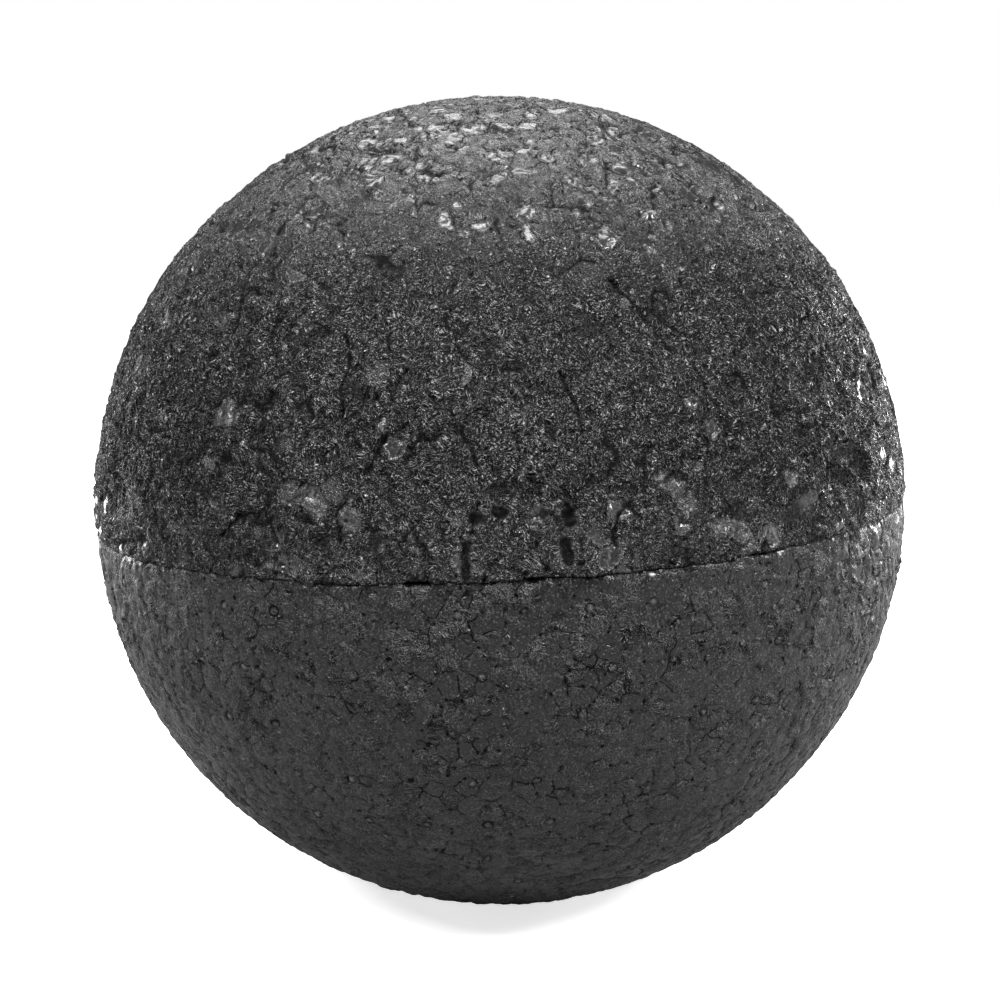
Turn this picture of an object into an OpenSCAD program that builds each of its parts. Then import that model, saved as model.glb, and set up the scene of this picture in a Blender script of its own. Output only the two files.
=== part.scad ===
// Massage ball of moulded bead foam, in two solid halves that are bonded face to face.
// The origin is the centre of the flat that the ball rests on, and +Z is up through both halves.

/* [Ball] */
// Diameter of the ball
ball_d = 120; // [80:1:150]
// Diameter of the flat left by the fill injector at the bottom, on which the ball rests
rest_flat_d = 14; // [8:1:24]

/* [Seam] */
// Width of the dry rim, where the two halves meet face to face outside the adhesive
rim_w = 3; // [2:0.5:5]
// Size of the softened edge on each half, which together leave a groove round the seam
seam_chamfer = 0.4; // [0.2:0.1:1]
// Thickness of the adhesive film between the halves
film_t = 0.4; // [0.2:0.1:1]

/* [Locating tongue] */
// Distance from the ball's surface in to the tongue's outer side
tongue_inset = 18; // [8:1:22]
// Width of the tongue where it leaves the joint face
tongue_w = 12; // [6:1:14]
// Height of the tongue above the joint face
tongue_h = 8; // [4:1:12]
// Draft angle of the tongue's two sides, in degrees
tongue_draft = 5; // [1:1:8]

/* [Hidden] */
$fn = 128;
ball_r = ball_d / 2;
// The flat cuts the ball at its own radius, which sets how high the middle of the ball stands
seam_z = sqrt(ball_r ^ 2 - (rest_flat_d / 2) ^ 2);
film_r = ball_r - rim_w;
tongue_mid_r = ball_r - tongue_inset - tongue_w / 2;
// How far a cutting shape runs past the face that it cuts
past = 1;

// A ring about the Z axis whose sides lean in at the draft angle. Its width at the seam is w.
module drafted_ring(w, z_low, z_high) {
    low_w = w - 2 * (z_low - seam_z) * tan(tongue_draft);
    high_w = w - 2 * (z_high - seam_z) * tan(tongue_draft);
    rotate_extrude()
        polygon([
            [tongue_mid_r - low_w / 2, z_low],
            [tongue_mid_r + low_w / 2, z_low],
            [tongue_mid_r + high_w / 2, z_high],
            [tongue_mid_r - high_w / 2, z_high],
        ]);
}

// The tongue, from a depth inside the lower half up to its flat top
module tongue(root_depth) {
    drafted_ring(tongue_w, seam_z - root_depth, seam_z + tongue_h);
}

// The groove that the tongue enters, wider and deeper by the film all round
module groove(below) {
    drafted_ring(tongue_w + 2 * film_t, seam_z - below, seam_z + tongue_h + film_t);
}

// Softened edge of one half: side is 1 above the seam and -1 below it
module edge_cut(side) {
    rotate_extrude()
        polygon([
            [ball_r - seam_chamfer, seam_z],
            [ball_r + past, seam_z + side * (seam_chamfer + past)],
            [ball_r + past, seam_z],
        ]);
}

// The whole ball between two heights
module ball_slice(z_low, z_high) {
    intersection() {
        translate([0, 0, seam_z]) sphere(r = ball_r);
        translate([0, 0, z_low]) cylinder(r = ball_r + past, h = z_high - z_low);
    }
}

module lower_half() {
    color([0.17, 0.17, 0.18])
        union() {
            difference() {
                ball_slice(0, seam_z);
                edge_cut(-1);
                translate([0, 0, seam_z - film_t]) cylinder(r = film_r, h = film_t + past);
            }
            tongue(tongue_h);
        }
}

module bond_film() {
    color([0.72, 0.66, 0.50])
        difference() {
            union() {
                translate([0, 0, seam_z - film_t]) cylinder(r = film_r, h = film_t);
                groove(0);
            }
            tongue(tongue_h);
        }
}

module upper_half() {
    color([0.30, 0.30, 0.31])
        difference() {
            ball_slice(seam_z, seam_z + ball_r + past);
            edge_cut(1);
            groove(past);
        }
}

lower_half();
bond_film();
upper_half();
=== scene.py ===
"""A massage ball of moulded bead foam: two solid halves bonded face to face, standing on its small flat.

Lengths are in metres. The skin of the foam is worked out in millimetres and turned into metres with MM.
"""
import math

import bmesh
import bpy
import numpy as np
from mathutils import Matrix, Vector


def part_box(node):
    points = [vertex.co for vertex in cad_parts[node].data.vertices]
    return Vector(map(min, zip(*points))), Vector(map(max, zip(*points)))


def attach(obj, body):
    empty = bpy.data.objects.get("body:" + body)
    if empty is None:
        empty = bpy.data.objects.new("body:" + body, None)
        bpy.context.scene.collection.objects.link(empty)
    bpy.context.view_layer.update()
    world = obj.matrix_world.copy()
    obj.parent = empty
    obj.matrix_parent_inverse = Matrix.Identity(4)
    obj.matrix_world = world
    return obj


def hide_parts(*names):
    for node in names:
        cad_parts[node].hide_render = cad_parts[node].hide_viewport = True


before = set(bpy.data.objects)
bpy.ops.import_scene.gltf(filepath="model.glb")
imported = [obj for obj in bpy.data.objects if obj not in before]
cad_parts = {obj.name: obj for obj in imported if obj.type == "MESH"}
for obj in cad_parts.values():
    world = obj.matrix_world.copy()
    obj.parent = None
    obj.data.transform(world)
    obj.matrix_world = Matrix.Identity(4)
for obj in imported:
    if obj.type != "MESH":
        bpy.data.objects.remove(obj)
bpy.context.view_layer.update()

# ------------------------------------------------------------------------------------------------
# Lower half: a solid half ball of expanded polypropylene, steam-moulded from beads 2 to 3.5 mm across.
# The mould wall flattened the beads into a smooth dark skin with thin outlines, small pits and the
# round marks of steam vents. A tongue on its joint face locates the upper half.

MM = 0.001
upper_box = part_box("upper_half")
seam_z = upper_box[0].z
ball_r = (upper_box[1].x - upper_box[0].x) / 2
centre = Vector((0, 0, seam_z))
ball_r_mm = ball_r / MM
rest_flat_r = math.sqrt(ball_r_mm ** 2 - (seam_z / MM) ** 2)
icosphere_levels = 9
bead_mm = 2.9
# Steam vents: from one to the next, the ring that each leaves, and how far from its middle it shows
vent_pitch = 8.2
vent_r = 0.65
vent_reach = 1.3
# Depths and heights of the marks in the lower skin, in millimetres
outline_depth = 0.08
pit_depth = 0.30
vent_ring_depth = 0.10
vent_dome_height = 0.12
bead_lift = 0.18
bead_crown = 0.15
grain_height = 0.62
swell_height = 0.25
# How far from the seam its rounded lip and its waves reach, how far the lip is drawn in, and how far
# the upper half stands out past the lower one, in millimetres
lip_reach = 0.7
wave_reach = 2.4
lip_depth = 0.16
seam_step = 0.07
# The angle over which a break in the seam opens and closes again, in radians
break_taper = 0.012
# The ring that the nose of the fill injector left in the rest flat
nose_ring_r = 0.8 * rest_flat_r
nose_ring_depth = 0.35
# How light the painted shade in the foam's hollows is
painted_shade_level = 0.0005


def feed(tree, socket, value):
    """Sets a node's input to a number, or joins it to another node's output."""
    if isinstance(value, bpy.types.NodeSocket):
        tree.links.new(value, socket)
    else:
        socket.default_value = value


def maths(tree, operation, *values):
    """One Math node. Works in a shader tree and in a geometry tree."""
    made = tree.nodes.new("ShaderNodeMath")
    made.operation = operation
    for socket, value in zip(made.inputs, values):
        feed(tree, socket, value)
    return made.outputs[0]


def chained(tree, operation, first, *others):
    """One operation over a row of values, such as their product or the largest of them."""
    for value in others:
        first = maths(tree, operation, first, value)
    return first


def off_middle(tree, values):
    """Soft random values moved down, so that they lie about 0."""
    return maths(tree, "SUBTRACT", values, 0.5)


def vectors(tree, operation, *values):
    """One Vector Math node, whose answer is a vector."""
    made = tree.nodes.new("ShaderNodeVectorMath")
    made.operation = operation
    for socket, value in zip(made.inputs, values):
        feed(tree, socket, value)
    return made.outputs[0]


def scaled(tree, vector, factor):
    """A vector times a number."""
    made = tree.nodes.new("ShaderNodeVectorMath")
    made.operation = "SCALE"
    feed(tree, made.inputs[0], vector)
    feed(tree, made.inputs["Scale"], factor)
    return made.outputs[0]


def fade(tree, value, start, end, low=0.0, high=1.0):
    """A smooth change from low to high as value goes from start to end, and flat outside them."""
    made = tree.nodes.new("ShaderNodeMapRange")
    made.interpolation_type = "SMOOTHSTEP"
    for name, setting in zip(("Value", "From Min", "From Max", "To Min", "To Max"),
                             (value, start, end, low, high)):
        feed(tree, made.inputs[name], setting)
    return made.outputs[0]


def clouds(tree, at, size_mm, detail=1.0, distortion=0.0, roughness=0.5):
    """Soft random values about 0.5, in lumps about size_mm apart."""
    made = tree.nodes.new("ShaderNodeTexNoise")
    feed(tree, made.inputs["Vector"], at)
    made.inputs["Scale"].default_value = 1 / size_mm
    made.inputs["Detail"].default_value = detail
    made.inputs["Roughness"].default_value = roughness
    made.inputs["Distortion"].default_value = distortion
    return made.outputs[0]


def cells(tree, at, size_mm, feature):
    """A Voronoi node whose cells are about size_mm across."""
    made = tree.nodes.new("ShaderNodeTexVoronoi")
    made.feature = feature
    feed(tree, made.inputs["Vector"], at)
    made.inputs["Scale"].default_value = 1 / size_mm
    return made


def on_mould_wall(tree, position):
    """The point of the mould's wall, in millimetres from the ball's middle, under a position."""
    from_middle = vectors(tree, "SUBTRACT", position, tuple(centre))
    return scaled(tree, vectors(tree, "NORMALIZE", from_middle), ball_r_mm)


def wandering(tree, at, size_mm, reach_mm):
    """The same point pushed about by up to reach_mm, so that what is drawn on it isn't straight."""
    made = tree.nodes.new("ShaderNodeTexNoise")
    feed(tree, made.inputs["Vector"], at)
    made.inputs["Scale"].default_value = 1 / size_mm
    made.inputs["Detail"].default_value = 1.0
    push = vectors(tree, "SUBTRACT", made.outputs["Color"], (0.5, 0.5, 0.5))
    return vectors(tree, "ADD", at, scaled(tree, push, 2 * reach_mm))


def z_of(tree, vector):
    """The z part of a vector: a point's height."""
    made = tree.nodes.new("ShaderNodeSeparateXYZ")
    feed(tree, made.inputs[0], vector)
    return made.outputs["Z"]


def cell_edge_mm(tree, at, size_mm):
    """Distance to the nearest edge of a pattern of cells, in millimetres."""
    return maths(tree, "MULTIPLY", cells(tree, at, size_mm, "DISTANCE_TO_EDGE").outputs["Distance"], size_mm)


def border_mm(tree, place):
    """Distance from a place on the skin to the nearest border between two beads, in millimetres."""
    return cell_edge_mm(tree, place, bead_mm)


def bead_number(tree, place):
    """A random number from 0 to 1 for each bead."""
    return z_of(tree, cells(tree, place, bead_mm, "F1").outputs["Color"])


def open_joints(tree, wall, loose, closed_under, open_over):
    """How open the joints between the beads are: in runs, and widest where the beads are loose."""
    runs = fade(tree, clouds(tree, wall, 1.3, 1.0), closed_under, open_over)
    return maths(tree, "MULTIPLY", runs, maths(tree, "MULTIPLY_ADD", loose, 0.7, 0.3))


def streaks(tree, at, size_mm, half_width):
    """Thin winding lines about size_mm apart: 1 along the middle of a line and 0 off it."""
    off_line = maths(tree, "ABSOLUTE", off_middle(tree, clouds(tree, at, size_mm, 1.5, 0.8)))
    return fade(tree, off_line, 0.0, half_width, 1.0, 0.0)


def vent_nearness(tree, wall):
    """How near a place is to the middle of a steam vent's mark: vent_reach on it, down to 0."""
    parts = tree.nodes.new("ShaderNodeSeparateXYZ")
    feed(tree, parts.inputs[0], wall)
    x, y, z = parts.outputs
    # The vents stand in rings round the bottom of the mould
    from_bottom = maths(tree, "ARCCOSINE", maths(tree, "DIVIDE", z, -ball_r_mm))
    ring = maths(tree, "ROUND", maths(tree, "MULTIPLY", from_bottom, ball_r_mm / vent_pitch))
    ring_angle = maths(tree, "MULTIPLY", ring, vent_pitch / ball_r_mm)
    ring_r = maths(tree, "MULTIPLY", maths(tree, "SINE", ring_angle), ball_r_mm)
    count = maths(tree, "ROUND", maths(tree, "MULTIPLY", ring_r, 2 * math.pi / vent_pitch))
    step = maths(tree, "DIVIDE", 2 * math.pi, maths(tree, "MAXIMUM", count, 1.0))
    azimuth = maths(tree, "ARCTAN2", y, x)
    turn = maths(tree, "DIVIDE", maths(tree, "MULTIPLY_ADD", ring, 0.4, azimuth), step)
    across = maths(tree, "MULTIPLY", maths(tree, "SUBTRACT", turn, maths(tree, "ROUND", turn)),
                   maths(tree, "MULTIPLY", step, ring_r))
    along = maths(tree, "MULTIPLY", maths(tree, "SUBTRACT", from_bottom, ring_angle), ball_r_mm)
    along_squared = maths(tree, "MULTIPLY", along, along)
    away = maths(tree, "SQRT", maths(tree, "MULTIPLY_ADD", across, across, along_squared))
    near = maths(tree, "MAXIMUM", maths(tree, "SUBTRACT", vent_reach, away), 0.0)
    return maths(tree, "MULTIPLY", near, fade(tree, clouds(tree, wall, 10.0, 1.0), 0.42, 0.50))


def vent_rim(tree, near):
    """1 on the ring that a steam vent leaves in the skin and 0 off it."""
    off_ring = maths(tree, "ABSOLUTE", maths(tree, "SUBTRACT", near, vent_reach - vent_r))
    return fade(tree, off_ring, 0.05, 0.22, 1.0, 0.0)


def lower_skin(tree, position):
    """Relief of the lower half's skin in millimetres, and what the foam's finish needs to know of it."""
    wall = on_mould_wall(tree, position)
    place = wandering(tree, wall, 1.6, 0.35)
    border = border_mm(tree, place)
    own = off_middle(tree, bead_number(tree, place))
    # Outlines come and go, and are plainest where the beads fused least
    loose = fade(tree, clouds(tree, wall, 9.0, 2.0), 0.42, 0.62)
    open_joint = open_joints(tree, wall, loose, 0.40, 0.54)
    outline = maths(tree, "MULTIPLY", fade(tree, border, 0.02, 0.20, 1.0, 0.0), open_joint)
    # Small ragged pits lie on the outlines
    speck = cells(tree, wandering(tree, wall, 0.5, 0.25), 1.7, "F1").outputs["Distance"]
    pit = maths(tree, "MULTIPLY", fade(tree, speck, 0.08, 0.20, 1.0, 0.0),
                fade(tree, border, 0.15, 0.45, 1.0, 0.0))
    # Crumbly ridges, where steam lifted the skin, run in a band below the seam
    height = z_of(tree, wall)
    band = maths(tree, "MULTIPLY", fade(tree, height, -2.0, -6.0), fade(tree, height, -34.0, -14.0))
    off_vein = maths(tree, "ABSOLUTE", off_middle(tree, clouds(tree, wall, 9.0, 2.0, 1.2)))
    crumbly = chained(tree, "MULTIPLY", band, fade(tree, off_vein, 0.055, 0.01),
                      fade(tree, clouds(tree, wall, 2.2, 1.0), 0.42, 0.56))
    crumbs = maths(tree, "MULTIPLY_ADD", clouds(tree, place, 0.7, 1.0), 0.8, -0.3)
    # A few beads are faintly folded
    faint = fade(tree, maths(tree, "ADD", own, clouds(tree, wall, 3.0, 2.0)), 0.3, 1.1, 0.04, 0.45)
    near = vent_nearness(tree, wall)
    swell = off_middle(tree, clouds(tree, wall, 13.0, 1.0))
    grain = off_middle(tree, clouds(tree, place, 1.7, 2.0))
    relief = fade(tree, border, 0.0, 0.9, 0.0, bead_crown)
    relief = maths(tree, "MULTIPLY_ADD", own, bead_lift, relief)
    relief = maths(tree, "MULTIPLY_ADD", swell, swell_height, relief)
    relief = maths(tree, "MULTIPLY_ADD", grain, grain_height, relief)
    relief = maths(tree, "MULTIPLY_ADD", outline, -outline_depth, relief)
    relief = maths(tree, "MULTIPLY_ADD", pit, -pit_depth, relief)
    relief = maths(tree, "MULTIPLY_ADD", crumbly, crumbs, relief)
    relief = maths(tree, "MULTIPLY_ADD", vent_rim(tree, near), -vent_ring_depth, relief)
    dome = fade(tree, near, vent_reach - vent_r, vent_reach, 0.0, vent_dome_height)
    relief = maths(tree, "ADD", relief, dome)
    # The pits get painted shade
    return {"relief": relief, "place": place, "open_joint": open_joint, "painted_shade": pit,
            "crinkled": maths(tree, "MAXIMUM", crumbly, faint), "near_vent": near}


def half_ball(side):
    """A finely divided half ball, open at the seam: side is 1 above the seam and -1 below it."""
    bm = bmesh.new()
    bmesh.ops.create_icosphere(bm, subdivisions=icosphere_levels, radius=ball_r)
    bmesh.ops.bisect_plane(bm, geom=bm.verts[:] + bm.edges[:] + bm.faces[:], dist=1e-7,
                           plane_co=(0, 0, 0), plane_no=(0, 0, side), clear_inner=True)
    bmesh.ops.translate(bm, verts=bm.verts, vec=centre)
    return bm


def object_of(bm, name):
    """Ends a bmesh as a smooth-shaded object in the scene."""
    mesh = bpy.data.meshes.new(name)
    bm.to_mesh(mesh)
    bm.free()
    mesh.shade_smooth()
    made = bpy.data.objects.new(name, mesh)
    bpy.context.scene.collection.objects.link(made)
    return made


def press_skin(piece, skin):
    """Moves a piece's surface by a skin's relief, and keeps the skin's other values on the surface."""
    tree = bpy.data.node_groups.new(piece.name + "_relief", "GeometryNodeTree")
    tree.interface.new_socket("Geometry", in_out="INPUT", socket_type="NodeSocketGeometry")
    tree.interface.new_socket("Geometry", in_out="OUTPUT", socket_type="NodeSocketGeometry")
    geometry = tree.nodes.new("NodeGroupInput").outputs[0]
    position = tree.nodes.new("GeometryNodeInputPosition").outputs[0]
    made = skin(tree, position)
    for name in ("place", "open_joint", "painted_shade", "crinkled", "near_vent"):
        store = tree.nodes.new("GeometryNodeStoreNamedAttribute")
        store.data_type = "FLOAT_VECTOR" if name == "place" else "FLOAT"
        store.inputs["Name"].default_value = name
        tree.links.new(geometry, store.inputs["Geometry"])
        feed(tree, store.inputs["Value"], made[name])
        geometry = store.outputs[0]
    outwards = vectors(tree, "NORMALIZE", vectors(tree, "SUBTRACT", position, tuple(centre)))
    move = tree.nodes.new("GeometryNodeSetPosition")
    tree.links.new(geometry, move.inputs["Geometry"])
    offset = scaled(tree, outwards, maths(tree, "MULTIPLY", made["relief"], MM))
    tree.links.new(offset, move.inputs["Offset"])
    end = tree.nodes.new("NodeGroupOutput")
    tree.links.new(move.outputs[0], end.inputs[0])
    piece.modifiers.new("relief", "NODES").node_group = tree
    shaped = piece.evaluated_get(bpy.context.evaluated_depsgraph_get())
    pressed = bpy.data.meshes.new_from_object(shaped)
    piece.modifiers.clear()
    old = piece.data
    piece.data = pressed
    pressed.name = piece.name
    bpy.data.meshes.remove(old)
    bpy.data.node_groups.remove(tree)


def read_values(owner, attribute, width=1):
    """One array of an attribute of a mesh's vertices."""
    values = np.empty(len(owner) * width)
    owner.foreach_get(attribute, values)
    return values.reshape(-1, width) if width > 1 else values


def on_ball(longitude, latitude):
    """A point of the mould wall, in millimetres from the ball's middle. Longitude 0 is the front."""
    lon, lat = math.radians(longitude), math.radians(latitude)
    ring_r = math.cos(lat)
    return ball_r_mm * np.array((ring_r * math.sin(lon), -ring_r * math.cos(lon), math.sin(lat)))


def soft_step(values, start, end):
    """0 before start, 1 past end and smooth between, for an array."""
    share = np.clip((values - start) / (end - start), 0, 1)
    return share * share * (3 - 2 * share)


def draw_strokes(piece, strokes):
    """Presses strokes into a skin, or raises them from it.

    A stroke is its height and half width in millimetres, how much painted shade its bottom gets and how
    crinkled it stays, and then the longitudes and latitudes, in degrees, of the points that it runs through.
    """
    mesh = piece.data
    position = read_values(mesh.vertices, "co", 3)
    outwards = position - np.array(centre)
    outwards /= np.linalg.norm(outwards, axis=1, keepdims=True)
    place = read_values(mesh.attributes["place"].data, "vector", 3)
    painted_shade = read_values(mesh.attributes["painted_shade"].data, "value")
    crinkled = read_values(mesh.attributes["crinkled"].data, "value")
    uneven = read_values(mesh.attributes["open_joint"].data, "value")
    for height, half_width, bottom_shade, folds, *corners in strokes:
        points = [on_ball(*corner) for corner in corners]
        away = np.full(len(place), 2 * half_width)
        for a, b in zip(points, points[1:]):
            share = np.clip((place - a) @ (b - a) / ((b - a) @ (b - a)), 0, 1)[:, None]
            away = np.minimum(away, np.linalg.norm(place - a - share * (b - a), axis=1))
        # A stroke is full over its middle, and narrower where it crosses the joints between beads
        inside = soft_step(-away - 0.3 * uneven, -half_width, -0.55 * half_width)
        position += outwards * (inside * height * MM)[:, None]
        # The bottom of a pressed stroke gets painted shade
        painted_shade = np.maximum(painted_shade, inside * bottom_shade)
        crinkled = crinkled * (1 - inside) + folds * inside
    mesh.vertices.foreach_set("co", position.ravel())
    mesh.attributes["painted_shade"].data.foreach_set("value", painted_shade)
    mesh.attributes["crinkled"].data.foreach_set("value", crinkled)


def shape_seam_edge(piece, side):
    """Gives the open edge of a half its wavy run, its rounded lip, its lifted flakes and its slits."""
    mesh = piece.data
    position = read_values(mesh.vertices, "co", 3)
    azimuth = np.arctan2(position[:, 0], -position[:, 1])
    off_seam = np.abs(position[:, 2] - seam_z) / MM
    edge = 1 - soft_step(off_seam, 0.0, lip_reach)
    near = 1 - soft_step(off_seam, 0.0, wave_reach)
    # Long, middling and short waves, in millimetres, each a whole number of times round the ball
    wave = 0.10 * np.sin(9 * azimuth + 1) + 0.07 * np.sin(23 * azimuth) + 0.05 * np.sin(57 * azimuth + 2)
    rise = wave * near
    out = seam_step * side * near - lip_depth * edge
    for start, end, lift, gap in seam_breaks:
        a, b = math.radians(start), math.radians(end)
        within = soft_step(azimuth, a, a + break_taper) * (1 - soft_step(azimuth, b - break_taper, b))
        if side > 0:
            out += lift * within * (1 - soft_step(off_seam, 0.2, 1.2))
            rise += gap * within * edge
        else:
            out -= 1.2 * gap * within * edge
    across = position[:, :2] / np.linalg.norm(position[:, :2], axis=1, keepdims=True)
    position[:, :2] += across * (out * MM)[:, None]
    position[:, 2] += rise * MM
    mesh.vertices.foreach_set("co", position.ravel())
    painted_shade = read_values(mesh.attributes["painted_shade"].data, "value")
    # The groove of the seam gets painted shade, and the skin is dull there
    groove = np.where(off_seam < 0.15, 0.8, 0.0)
    mesh.attributes["painted_shade"].data.foreach_set("value", np.maximum(painted_shade, groove))


def press_rest_flat(piece):
    """Flattens the bottom, where the fill injector stood, with the ring that its nose leaves."""
    mesh = piece.data
    position = read_values(mesh.vertices, "co", 3)
    from_axis = np.hypot(position[:, 0], position[:, 1]) / MM
    at_bottom = position[:, 2] < 1 * MM
    level = np.where(from_axis < rest_flat_r, 0, np.maximum(position[:, 2], 0))
    level += nose_ring_depth * MM * (1 - soft_step(np.abs(from_axis - nose_ring_r), 0.15, 0.55))
    position[:, 2] = np.where(at_bottom, level, position[:, 2])
    mesh.vertices.foreach_set("co", position.ravel())


def joint_rings(node):
    """Radius and height of each edge of a half's joint face, from the rim in to the middle."""
    edges = set()
    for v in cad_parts[node].data.vertices:
        r = math.hypot(v.co.x, v.co.y)
        # Points of the ball's own surface and of the rest flat aren't part of the joint
        if math.hypot(r, v.co.z - seam_z) < ball_r - 1.0 * MM and v.co.z > 1.0 * MM:
            edges.add((round(r, 5), round(v.co.z, 5)))
    return sorted(edges, key=lambda edge: (-edge[0], -edge[1]))


def close_joint_face(piece, rings):
    """Carries the open edge of a half in over its joint face, ring by ring, and fills the middle."""
    bm = bmesh.new()
    bm.from_mesh(piece.data)
    loop = [e for e in bm.edges if e.is_boundary]
    for radius, height in rings:
        made = bmesh.ops.extrude_edge_only(bm, edges=loop)
        loop = [e for e in made["geom"] if isinstance(e, bmesh.types.BMEdge) and e.is_boundary]
        for v in {v for e in loop for v in e.verts}:
            flat = Vector((v.co.x, v.co.y, 0)).normalized() * radius
            v.co = Vector((flat.x, flat.y, height))
    bmesh.ops.edgeloop_fill(bm, edges=loop)
    bmesh.ops.recalc_face_normals(bm, faces=bm.faces)
    bm.to_mesh(piece.data)
    bm.free()


def skin_value(tree, name):
    """A value that press_skin kept on the surface."""
    made = tree.nodes.new("ShaderNodeAttribute")
    made.attribute_name = name
    return made.outputs["Vector" if name == "place" else "Fac"]


def mixed(tree, share, colour_a, colour_b):
    """One colour mixed into another by a share."""
    made = tree.nodes.new("ShaderNodeMix")
    made.data_type = "RGBA"
    feed(tree, made.inputs["Factor"], share)
    for socket, colour in ((made.inputs["A"], colour_a), (made.inputs["B"], colour_b)):
        feed(tree, socket, grey(colour) if isinstance(colour, float) else colour)
    return made.outputs["Result"]


def grey(level):
    """The foam's near-black, a trace cool, at a brightness."""
    return (level, level, 1.02 * level, 1)


def foam(name, fold_mm, smooth_level, fold_level, crest_highlight_level, glaze, gloss_roughness):
    """Black bead foam, with the bead outlines and folds that are too fine for the mesh drawn as bumps.

    The levels are how light the smooth skin, the folded skin and the painted highlight on the fold crests
    are.
    """
    made = bpy.data.materials.new(name)
    made.use_nodes = True
    tree = made.node_tree
    shader = tree.nodes["Principled BSDF"]
    place = skin_value(tree, "place")
    crinkled = skin_value(tree, "crinkled")
    near = skin_value(tree, "near_vent")
    border = border_mm(tree, place)
    outline = maths(tree, "MULTIPLY", fade(tree, border, 0.02, 0.12, 1.0, 0.0),
                    skin_value(tree, "open_joint"))
    # The folds are drawn out along a slow drift, so that they run together like creased leather
    drawn = wandering(tree, place, 2.5, 1.2)
    dull = fade(tree, clouds(tree, place, 6.0, 2.0), 0.36, 0.60, 0.45, 1.0)
    crest = chained(tree, "MULTIPLY", streaks(tree, drawn, fold_mm, 0.06), crinkled, dull)
    elsewhere = vectors(tree, "ADD", drawn, (37.0, 11.0, 5.0))
    groove = maths(tree, "MULTIPLY", streaks(tree, elsewhere, fold_mm, 0.185), crinkled)
    rolls = maths(tree, "MULTIPLY", clouds(tree, drawn, fold_mm, 1.5), crinkled)
    height = maths(tree, "MULTIPLY_ADD", crest, 0.10, maths(tree, "MULTIPLY", groove, -0.30))
    height = maths(tree, "MULTIPLY_ADD", rolls, 0.60, height)
    height = maths(tree, "MULTIPLY_ADD", outline, -0.10, height)
    bump = tree.nodes.new("ShaderNodeBump")
    bump.inputs["Strength"].default_value = 1.0
    bump.inputs["Distance"].default_value = MM
    feed(tree, bump.inputs["Height"], height)
    tree.links.new(bump.outputs[0], shader.inputs["Normal"])
    tree.links.new(bump.outputs[0], shader.inputs["Coat Normal"])
    # Painted shade in the outlines, pits, creases and fold grooves, in black specks where beads didn't meet
    # and in the rings of the steam vents' marks, some more than others, with a fine dark grit
    off_speck = cells(tree, place, 1.15, "F1").outputs["Distance"]
    speck = maths(tree, "MULTIPLY", fade(tree, off_speck, 0.15, 0.32, 1.0, 0.0),
                  fade(tree, border, 0.12, 0.30, 1.0, 0.0))
    grit = clouds(tree, place, 0.28, 0.0)
    ring_shade = fade(tree, clouds(tree, place, 1.1, 1.0), 0.42, 0.58, 0.30, 1.0)
    painted_shade = chained(tree, "MAXIMUM", maths(tree, "MULTIPLY", outline, 0.95), skin_value(tree, "painted_shade"),
                     groove, speck, fade(tree, grit, 0.42, 0.28, 0.0, 0.45),
                     maths(tree, "MULTIPLY", vent_rim(tree, near), ring_shade))
    # Pale dust on the skin, and painted highlights on the crests of the folds and the domed middles of the
    # vents' marks
    dust = fade(tree, grit, 0.62, 0.76, 0.0, 0.15)
    dome = fade(tree, near, vent_reach - 0.5, vent_reach - 0.15, 0.0, 0.25)
    pale = chained(tree, "MAXIMUM", crest, dust, dome)
    paint = mixed(tree, crinkled, smooth_level, fold_level)
    paint = mixed(tree, pale, paint, crest_highlight_level)
    paint = mixed(tree, painted_shade, paint, painted_shade_level)
    tree.links.new(paint, shader.inputs["Base Color"])
    shader.inputs["Roughness"].default_value = 0.6
    shader.inputs["Specular IOR Level"].default_value = 0.05
    # The glaze that the hot mould wall gave the skin is missing from its hollows
    feed(tree, shader.inputs["Coat Weight"], maths(tree, "MULTIPLY_ADD", painted_shade, -glaze, glaze))
    shader.inputs["Coat Roughness"].default_value = gloss_roughness
    return made


# Where the seam broke open: from and to, in degrees round from the front, how far the upper edge is
# lifted off and how far the slit gapes, in millimetres
seam_breaks = [(-25, -21, 0.22, 0.0), (-12.6, -11, 0.25, 0.0), (-12, -8.5, 0.1, 0.35), (2.5, 5, 0.1, 0.30),
               (31, 36.5, 0.1, 0.22), (9, 12, 0.15, 0.0), (-38, -35, 0.2, 0.0), (-60, -52, 0.2, 0.1),
               (17, 19.5, 0.18, 0.1), (55, 60, 0.15, 0.2), (70, 76, 0.2, 0.2), (-96, -90, 0.2, 0.2),
               (112, 121, 0.15, 0.3), (150, 153, 0.2, 0.0), (165, 170, 0.2, 0.3), (-175, -171, 0.2, 0.2),
               (-150, -146, 0.25, 0.0), (-128, -121, 0.15, 0.3)]

# The lower half's foam is painted darker than the upper half's: painted shade on the lower half of the ball
lower_foam = foam("lower_foam", fold_mm=0.46, smooth_level=0.004, fold_level=0.006, crest_highlight_level=0.26,
                  glaze=0.60, gloss_roughness=0.24)
lower = object_of(half_ball(-1), "lower_half_skin")
press_skin(lower, lower_skin)
shape_seam_edge(lower, -1)
press_rest_flat(lower)
close_joint_face(lower, joint_rings("lower_half"))
lower.data.materials.append(lower_foam)
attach(lower, "root")
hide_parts("lower_half")

# ------------------------------------------------------------------------------------------------
# Upper half: the other half ball, moulded of the same beads but hotter, so that its skin shrank
# into fine leathery folds, long creases and dimples, with smooth beads left at the top and near the
# seam. A groove in its joint face drops over the lower half's tongue.

# Depths and heights of the marks in the upper skin, in millimetres
upper_outline_depth = 0.10
crease_depth = 0.35
crease_rim = 0.16
upper_bead_lift = 0.08
lump_height = 1.45
fold_height = 0.18
upper_swell_height = 0.45


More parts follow.
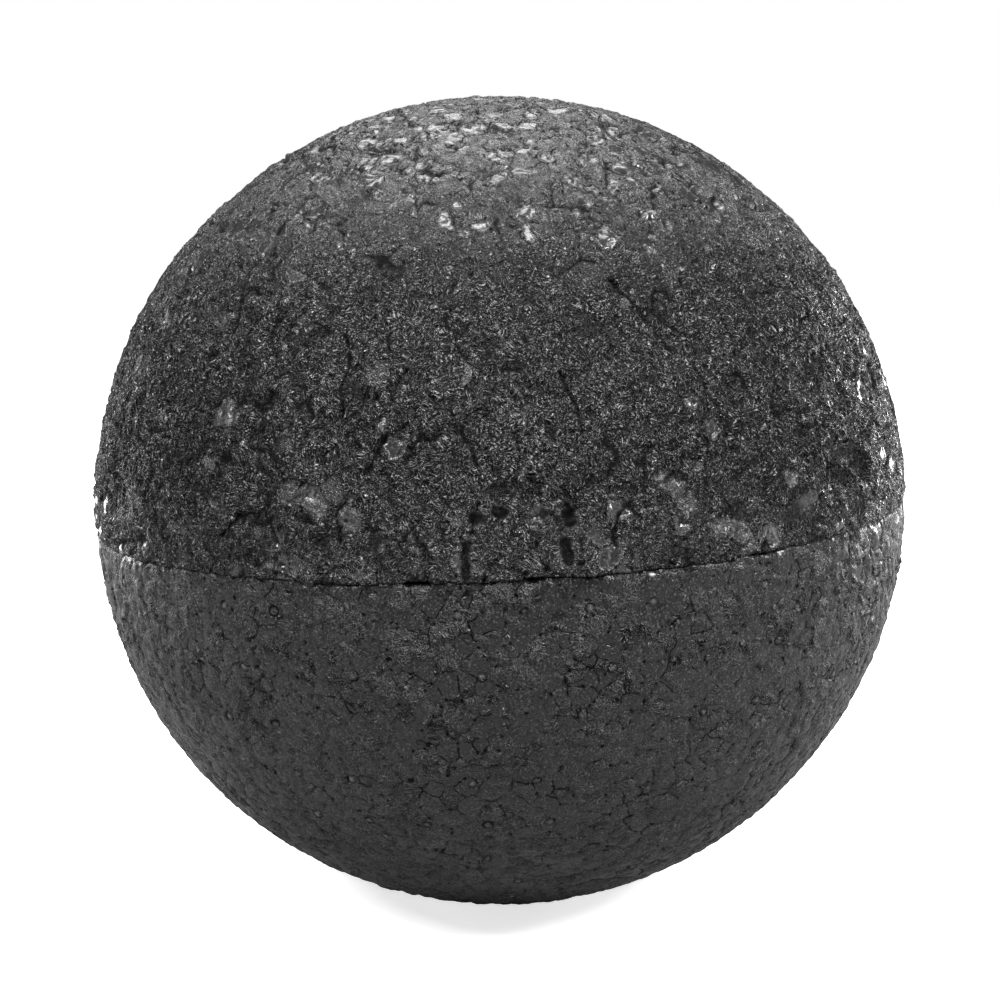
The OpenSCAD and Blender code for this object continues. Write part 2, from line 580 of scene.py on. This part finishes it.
def upper_skin(tree, position):
    """Relief of the upper half's skin in millimetres, and what the foam's finish needs to know of it."""
    wall = on_mould_wall(tree, position)
    # The smoother cap at the top and the foot just above the seam both end in a ragged line
    height = maths(tree, "MULTIPLY_ADD", clouds(tree, wall, 5.0, 2.0), 16.0, z_of(tree, wall))
    cap = fade(tree, height, 40.0, 62.0)
    foot = fade(tree, height, 18.0, 12.0)
    place = wandering(tree, wall, 1.6, 0.45)
    border = border_mm(tree, place)
    own = bead_number(tree, place)
    patches = fade(tree, clouds(tree, wall, 12.0, 1.0), 0.45, 0.62)
    loose = maths(tree, "MAXIMUM", patches, cap)
    open_joint = open_joints(tree, wall, loose, 0.40, 0.56)
    outline = maths(tree, "MULTIPLY", fade(tree, border, 0.04, 0.24, 1.0, 0.0), open_joint)
    speck = cells(tree, wandering(tree, wall, 0.6, 0.35), 2.3, "F1").outputs["Distance"]
    pit = chained(tree, "MULTIPLY", fade(tree, speck, 0.10, 0.28, 1.0, 0.0),
                  fade(tree, border, 0.2, 0.6, 1.0, 0.0), maths(tree, "MAXIMUM", loose, foot))
    # Some beads stayed smooth, more of them at the top and just above the seam
    near_seam = maths(tree, "MULTIPLY", foot, maths(tree, "MULTIPLY_ADD", patches, 0.40, 0.08))
    likely = maths(tree, "MULTIPLY_ADD", cap, 0.50, near_seam)
    smooth = maths(tree, "MULTIPLY", fade(tree, maths(tree, "ADD", own, likely), 0.95, 1.0),
                   fade(tree, border, 0.05, 0.35))
    smooth = maths(tree, "MAXIMUM", smooth, maths(tree, "MULTIPLY", cap, 0.70))
    crinkled = maths(tree, "MULTIPLY", maths(tree, "SUBTRACT", 1.0, smooth),
                     fade(tree, foot, 0.0, 1.0, 1.0, 0.9))
    # Long creases, mostly up and down, and short ones between them
    tall = vectors(tree, "MULTIPLY", wandering(tree, wall, 5.0, 2.5), (1.0, 1.0, 0.55))
    long_mm = cell_edge_mm(tree, tall, 9.0)
    long_crease = maths(tree, "MULTIPLY", fade(tree, long_mm, 0.08, 0.42, 0.95, 0.0),
                        fade(tree, clouds(tree, place, 5.0, 2.0), 0.47, 0.58))
    short_mm = cell_edge_mm(tree, wandering(tree, wall, 2.5, 1.2), 4.2)
    short_crease = maths(tree, "MULTIPLY", fade(tree, short_mm, 0.05, 0.32, 0.85, 0.0),
                         fade(tree, clouds(tree, place, 3.0, 1.0), 0.48, 0.56))
    crease = maths(tree, "MAXIMUM", long_crease, short_crease)
    lump = clouds(tree, place, 4.5, 3.0, 0.3, 0.65)
    folds = streaks(tree, wandering(tree, place, 4.0, 2.5), 1.3, 0.14)
    relief = maths(tree, "MULTIPLY", off_middle(tree, clouds(tree, wall, 14.0, 1.0)), upper_swell_height)
    relief = maths(tree, "MULTIPLY_ADD", off_middle(tree, lump), lump_height, relief)
    relief = maths(tree, "MULTIPLY_ADD", own, upper_bead_lift, relief)
    relief = maths(tree, "MULTIPLY_ADD", outline, -upper_outline_depth, relief)
    relief = maths(tree, "MULTIPLY_ADD", pit, -pit_depth, relief)
    relief = maths(tree, "MULTIPLY_ADD", crease, -crease_depth, relief)
    # The skin stands up along both sides of a long crease
    beside = maths(tree, "ABSOLUTE", maths(tree, "SUBTRACT", long_mm, 0.8))
    relief = maths(tree, "ADD", relief, fade(tree, beside, 0.0, 0.45, crease_rim, 0.0))
    relief = maths(tree, "MULTIPLY_ADD", folds, maths(tree, "MULTIPLY", crinkled, fold_height), relief)
    # The pits, the creases and the low ground between the lumps get painted shade
    lump_shade = maths(tree, "MULTIPLY", fade(tree, lump, 0.45, 0.31), 0.7)
    return {"relief": relief, "place": place, "open_joint": open_joint,
            "painted_shade": chained(tree, "MAXIMUM", pit, crease, lump_shade), "crinkled": crinkled, "near_vent": 0.0}


# Marks that stand out on the front: long creases, two ridges, dimples above the seam, smooth islands
# and the torn hollow at the right, with painted shade in the creases, dimples and hollow.
# Each is written as draw_strokes asks for it.
front_marks = [
    (-0.40, 0.50, 0.92, 1.0, (-21, 31), (-19.5, 27), (-20.5, 23), (-19.5, 19.5)),
    (-0.35, 0.45, 0.92, 1.0, (-11.5, 25.5), (-13, 23), (-15, 21)),
    (-0.40, 0.55, 0.92, 1.0, (-14, 17.5), (-15, 15), (-16.5, 13)),
    (-0.30, 0.45, 0.85, 1.0, (-22, 15), (-18, 18), (-15, 19.5)),
    (-0.35, 0.50, 0.92, 1.0, (18, 36), (21.5, 31), (24, 26.5)),
    (-0.35, 0.45, 0.92, 1.0, (8.5, 24), (10, 20), (10.5, 17)),
    (-0.35, 0.45, 0.85, 1.0, (27, 24), (29, 19), (30, 15)),
    (-0.40, 0.50, 0.92, 1.0, (-36.5, 5), (-33.5, 7.5), (-31.5, 8)),
    (0.35, 0.60, 0.0, 0.7, (2.5, 22.5), (3.7, 20), (3.2, 16.5), (4, 14.5), (2.7, 12)),
    (0.30, 0.55, 0.0, 0.7, (-30, 29), (-27, 33), (-24, 35)),
    (-0.45, 1.5, 0.95, 0.1, (-3.2, 7.6), (-2.8, 7.4)),
    (-0.45, 1.2, 0.97, 0.1, (-0.4, 8.2), (0, 8)),
    (-0.45, 1.3, 0.97, 0.1, (8, 8), (8.2, 6.5)),
    (-0.40, 1.0, 0.93, 0.3, (-4.3, 4.5), (-4.5, 0.8)),
    (-0.45, 1.2, 0.95, 0.2, (7.4, 4), (7.7, 2.0)),
    (0.10, 1.9, 0.0, 0.15, (-26.5, 10.5), (-26, 10.3)),
    (0.10, 1.6, 0.0, 0.15, (-22.4, 9), (-22, 8.8)),
    (0.10, 2.0, 0.0, 0.15, (-18.6, 7.6), (-18, 7.6)),
    (0.12, 1.2, 0.0, 0.0, (25.2, 19.3), (25.4, 19.3)),
    (0.06, 1.5, 0.0, 0.25, (20, 10.5), (22, 9), (23, 7)),
    (0.06, 1.6, 0.0, 0.25, (27, 4), (30, 3.5), (31, 1.5)),
    (-0.9, 2.4, 0.6, 1.0, (47.5, 10), (52, 10), (56, 7.5)),
    (-0.6, 1.8, 0.6, 1.0, (48, 8), (51, 6.5)),
]

# The upper half's foam is painted lighter than the lower half's, and its smooth skin, most of the top,
# lighter than its folds: painted sheen where the light falls on the top
upper_foam = foam("upper_foam", fold_mm=0.42, smooth_level=0.016, fold_level=0.010, crest_highlight_level=0.30,
                  glaze=1.0, gloss_roughness=0.20)
upper = object_of(half_ball(1), "upper_half_skin")
press_skin(upper, upper_skin)
draw_strokes(upper, front_marks)
shape_seam_edge(upper, 1)
close_joint_face(upper, joint_rings("upper_half"))
upper.data.materials.append(upper_foam)
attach(upper, "root")
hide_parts("upper_half")

# ------------------------------------------------------------------------------------------------
# Bond film: the cured adhesive that was spread on the lower half's joint face before the upper half
# was pressed on. It is amber, fills the clearance round the tongue, and shows only if the ball is
# taken apart.


def cured_adhesive(name):
    """Amber adhesive, cloudy where the spreader left it thick, with small trapped bubbles."""
    made = bpy.data.materials.new(name)
    made.use_nodes = True
    tree = made.node_tree
    shader = tree.nodes["Principled BSDF"]
    at = scaled(tree, tree.nodes.new("ShaderNodeTexCoord").outputs["Object"], 1 / MM)
    thick = fade(tree, clouds(tree, at, 7.0, 2.0), 0.35, 0.65)
    bubble = fade(tree, cells(tree, at, 1.6, "F1").outputs["Distance"], 0.08, 0.16, 1.0, 0.0)
    amber = mixed(tree, thick, (0.30, 0.20, 0.08, 1), (0.46, 0.36, 0.20, 1))
    tree.links.new(mixed(tree, bubble, amber, (0.62, 0.55, 0.40, 1)), shader.inputs["Base Color"])
    feed(tree, shader.inputs["Roughness"], fade(tree, thick, 0.0, 1.0, 0.30, 0.55))
    bump = tree.nodes.new("ShaderNodeBump")
    bump.inputs["Distance"].default_value = MM
    height = maths(tree, "MULTIPLY_ADD", bubble, 0.1, maths(tree, "MULTIPLY", thick, 0.3))
    feed(tree, bump.inputs["Height"], height)
    tree.links.new(bump.outputs[0], shader.inputs["Normal"])
    return made


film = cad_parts["bond_film"]
adhesive = cured_adhesive("adhesive")
if not film.material_slots:
    film.data.materials.append(adhesive)
for slot in film.material_slots:
    slot.material = adhesive

# ------------------------------------------------------------------------------------------------
# Camera, light and floor: a long lens a little above the seam, softboxes that leave the front of the
# ball in soft shade and its rim bright, and a pale floor that runs up to the white of the room.

view_distance = 5 * ball_r
view_elevation = math.radians(9.57)
view_roll = math.radians(2.62)
camera_data = bpy.data.cameras.new("camera")
camera_data.sensor_width = 36
camera_data.lens = 71.1
camera = bpy.data.objects.new("camera", camera_data)
bpy.context.scene.collection.objects.link(camera)
back = Vector((0, -math.cos(view_elevation), math.sin(view_elevation)))
camera.location = centre + back * view_distance
camera.rotation_mode = "QUATERNION"
turn = (-back).to_track_quat("-Z", "Y")
camera.rotation_quaternion = turn @ Matrix.Rotation(-view_roll, 3, "Z").to_quaternion()
bpy.context.scene.camera = camera


panel_distance = 0.8


def panel(name, azimuth, elevation, width, height, power):
    """A softbox: a rectangle of light that faces the ball from an azimuth and an elevation in degrees."""
    data = bpy.data.lights.new(name, "AREA")
    data.shape = "RECTANGLE"
    data.size, data.size_y, data.energy = width, height, power
    made = bpy.data.objects.new(name, data)
    bpy.context.scene.collection.objects.link(made)
    a, e = math.radians(azimuth), math.radians(elevation)
    out = Vector((math.sin(a) * math.cos(e), -math.cos(a) * math.cos(e), math.sin(e)))
    made.location = centre + out * panel_distance
    made.rotation_mode = "QUATERNION"
    made.rotation_quaternion = out.to_track_quat("Z", "Y")
    made.visible_camera = False


panel("left_high", -52, 43, 0.18, 0.30, 9.5)
panel("right_high", 56, 37, 0.18, 0.30, 13.5)
panel("left_low", -66, 5, 0.22, 0.50, 1.2)
panel("right_low", 66, 5, 0.22, 0.50, 1.4)
panel("overhead", 0, 85, 0.60, 0.30, 9.5)
panel("behind_high", 180, 55, 0.40, 0.50, 3.0)
panel("left_side", -130, 0, 0.25, 0.22, 2.3)
panel("right_side", 128, 0, 0.25, 0.22, 4.8)

# The camera sees white round the ball, and the ball sees a dark room with softboxes in it
world = bpy.data.worlds.new("studio")
world.use_nodes = True
tree = world.node_tree
background = tree.nodes["Background"]
background.inputs["Color"].default_value = (1, 1, 1, 1)
seen = tree.nodes.new("ShaderNodeLightPath").outputs["Is Camera Ray"]
tree.links.new(seen, background.inputs["Strength"])
bpy.context.scene.world = world

floor_bm = bmesh.new()
bmesh.ops.create_grid(floor_bm, x_segments=1, y_segments=1, size=3.0)
floor = object_of(floor_bm, "floor")
floor_paint = bpy.data.materials.new("pale_floor")
floor_paint.use_nodes = True
tree = floor_paint.node_tree
shader = tree.nodes["Principled BSDF"]
seen = tree.nodes.new("ShaderNodeLightPath").outputs["Is Camera Ray"]
pale = tree.nodes.new("ShaderNodeMix")
pale.data_type = "RGBA"
feed(tree, pale.inputs["Factor"], seen)
pale.inputs["A"].default_value = (0.28, 0.28, 0.28, 1)
pale.inputs["B"].default_value = (0.85, 0.85, 0.85, 1)
tree.links.new(pale.outputs["Result"], shader.inputs["Base Color"])
shader.inputs["Roughness"].default_value = 0.9
# The floor glows for the camera alone, as painted light: less next to the ball, so that a faint shadow
# stays, and fully away from it, where it runs up to the white of the room behind it
away = tree.nodes.new("ShaderNodeVectorMath")
away.operation = "LENGTH"
feed(tree, away.inputs[0], tree.nodes.new("ShaderNodeTexCoord").outputs["Object"])
shader.inputs["Emission Color"].default_value = (1, 1, 1, 1)
glow = fade(tree, away.outputs["Value"], 0.02, 0.3, 0.70, 1.0)
feed(tree, shader.inputs["Emission Strength"], maths(tree, "MULTIPLY", seen, glow))
floor.data.materials.append(floor_paint)
bpy.context.scene.view_settings.view_transform = "Standard"
